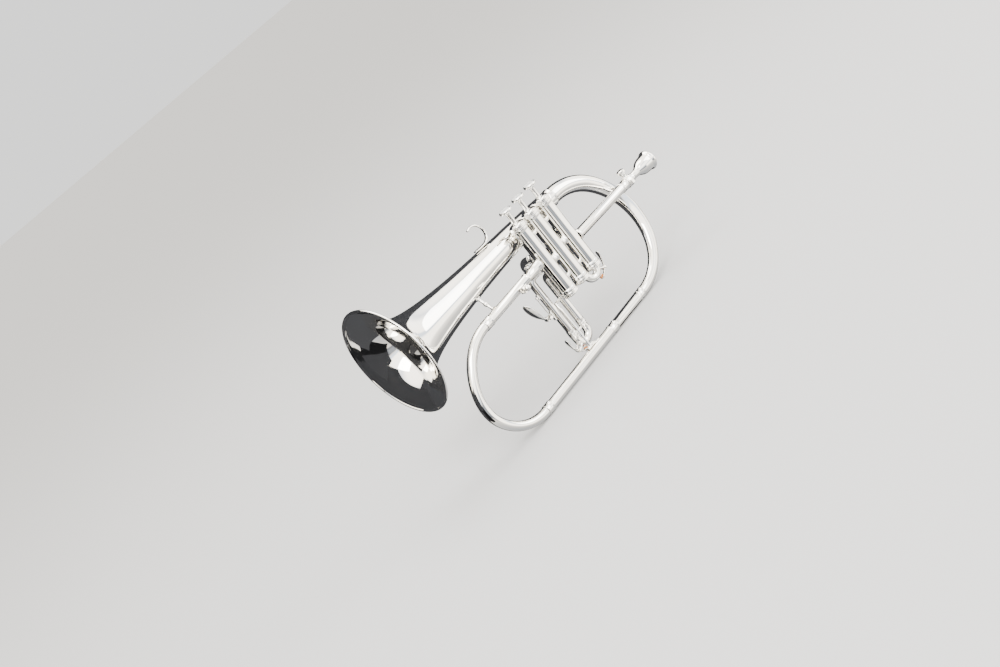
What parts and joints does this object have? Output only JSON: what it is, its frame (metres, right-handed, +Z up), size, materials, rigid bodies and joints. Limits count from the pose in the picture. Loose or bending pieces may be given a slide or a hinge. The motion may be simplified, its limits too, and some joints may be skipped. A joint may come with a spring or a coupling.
{
  "type": "flugelhorn",
  "caption": "Silver-plated flugelhorn with a wide flared bell, piston valves with pearl buttons, pull-out slides, a slide trigger, water keys and a tuning mouthpipe.",
  "frame": {"origin": "on the second valve's axis, half way up its casing, where the left hand holds the horn", "axes": "-X towards the bell, +X towards the player, +Z up through the finger buttons, +Y to the player's right, where the bell tube runs"},
  "size_m": [0.4531, 0.15, 0.2508],
  "materials": {
    "silver_plate": "bright silver plate over brass",
    "inner_tube_silver": "silver plate, slightly duller from sliding",
    "mother_of_pearl": "polished pearl inlay",
    "spring_steel": "drawn wire",
    "felt": "pressed felt",
    "cork": "natural cork",
    "piston_metal": "honed nickel alloy"
  },
  "bodies": {
    "horn": {"bell": "silver_plate", "rear_bow": "silver_plate", "lower_tube": "silver_plate", "front_bow": "silver_plate", "exit_tube": "silver_plate", "valve_casing_1": "silver_plate", "top_cap_1": "silver_plate", "bottom_cap_1": "silver_plate", "valve_spring_1": "spring_steel", "valve_casing_2": "silver_plate", "top_cap_2": "silver_plate", "bottom_cap_2": "silver_plate", "valve_spring_2": "spring_steel", "valve_casing_3": "silver_plate", "top_cap_3": "silver_plate", "bottom_cap_3": "silver_plate", "valve_spring_3": "spring_steel", "knuckle_12": "silver_plate", "knuckle_23": "silver_plate", "leadpipe_sleeve": "silver_plate", "clamp_collar": "silver_plate", "slide1_leg_front": "silver_plate", "slide1_leg_rear": "silver_plate", "slide2_leg_upper": "silver_plate", "slide2_leg_lower": "silver_plate", "slide3_leg_front": "silver_plate", "slide3_leg_rear": "silver_plate", "slide3_brace": "silver_plate", "trigger_bracket": "silver_plate", "lyre_socket": "silver_plate", "finger_hook": "silver_plate", "bell_brace": "silver_plate", "rear_brace": "silver_plate", "bell_valve_brace": "silver_plate"},
    "valve_1": {"piston_1": "piston_metal", "valve_felt_1": "felt", "finger_button_1": "silver_plate", "pearl_1": "mother_of_pearl"},
    "valve_2": {"piston_2": "piston_metal", "valve_felt_2": "felt", "finger_button_2": "silver_plate", "pearl_2": "mother_of_pearl"},
    "valve_3": {"piston_3": "piston_metal", "valve_felt_3": "felt", "finger_button_3": "silver_plate", "pearl_3": "mother_of_pearl"},
    "tuning_mouthpipe": {"mouthpipe": "inner_tube_silver"},
    "mouthpiece": {"mouthpiece": "silver_plate"},
    "clamp_thumbscrew": {"clamp_screw": "silver_plate"},
    "first_slide": {"slide1_bow": "silver_plate"},
    "first_water_key": {"water_key_1": "silver_plate", "water_cork_1": "cork"},
    "second_slide": {"slide2_bow": "silver_plate"},
    "third_slide": {"slide3_bow": "silver_plate", "trigger_link": "silver_plate"},
    "third_water_key": {"water_key_3": "silver_plate", "water_cork_3": "cork"},
    "third_slide_trigger": {"trigger_lever": "silver_plate"},
    "lyre_thumbscrew": {"lyre_screw": "silver_plate"}
  },
  "joints": [
    {"name": "valve_1_press", "type": "slide", "parent": "horn", "child": "valve_1", "axis": [0, 0, -1], "range_m": [0, 0.013], "stiffness_N_per_m": 180, "springref_m": -0.014, "deforming": ["valve_spring_1"]},
    {"name": "valve_2_press", "type": "slide", "parent": "horn", "child": "valve_2", "axis": [0, 0, -1], "range_m": [0, 0.013], "stiffness_N_per_m": 180, "springref_m": -0.014, "deforming": ["valve_spring_2"]},
    {"name": "valve_3_press", "type": "slide", "parent": "horn", "child": "valve_3", "axis": [0, 0, -1], "range_m": [0, 0.013], "stiffness_N_per_m": 180, "springref_m": -0.014, "deforming": ["valve_spring_3"]},
    {"name": "mouthpipe_tune", "type": "slide", "parent": "horn", "child": "tuning_mouthpipe", "axis": [0.9994, 0, -0.034], "range_m": [0, 0.018]},
    {"name": "mouthpiece_pull", "type": "slide", "parent": "tuning_mouthpipe", "child": "mouthpiece", "axis": [0.9994, 0, -0.034], "range_m": [0, 0.03]},
    {"name": "clamp_screw_turn", "type": "hinge", "parent": "horn", "child": "clamp_thumbscrew", "pos_m": [0.14858, 0, -0.01423], "axis": [0, 0, 1], "range_deg": [0, 360]},
    {"name": "slide1_pull", "type": "slide", "parent": "horn", "child": "first_slide", "axis": [0, 0, -1], "range_m": [0, 0.012]},
    {"name": "water_key_1_open", "type": "hinge", "parent": "first_slide", "child": "first_water_key", "pos_m": [0.04877, 0.017, -0.06915], "axis": [0, -1, 0], "range_deg": [0, 18], "stiffness_Nm_per_rad": 0.02, "springref_deg": -20.05},
    {"name": "slide2_pull", "type": "slide", "parent": "horn", "child": "second_slide", "axis": [-0.2, 0.9798, 0], "range_m": [0, 0.018]},
    {"name": "trigger_turn", "type": "hinge", "parent": "horn", "child": "third_slide_trigger", "pos_m": [-0.0603, 0.0165, -0.0585], "axis": [0, 1, 0], "range_deg": [0, 24], "stiffness_Nm_per_rad": 0.15, "springref_deg": -20.05},
    {"name": "slide3_pull", "type": "slide", "parent": "horn", "child": "third_slide", "axis": [0, 0, -1], "range_m": [0, 0.0091]},
    {"name": "water_key_3_open", "type": "hinge", "parent": "third_slide", "child": "third_water_key", "pos_m": [-0.05712, 0.0165, -0.11305], "axis": [0, 1, 0], "range_deg": [0, 18], "stiffness_Nm_per_rad": 0.02, "springref_deg": -20.05},
    {"name": "lyre_screw_turn", "type": "hinge", "parent": "horn", "child": "lyre_thumbscrew", "pos_m": [-0.0815, -0.0138, 0.0004], "axis": [0, -1, 0], "range_deg": [0, 360]}
  ],
  "couplings": [
    {"joint": "slide3_pull", "follows": "trigger_turn", "m_per_rad": 0.0215}
  ]
}
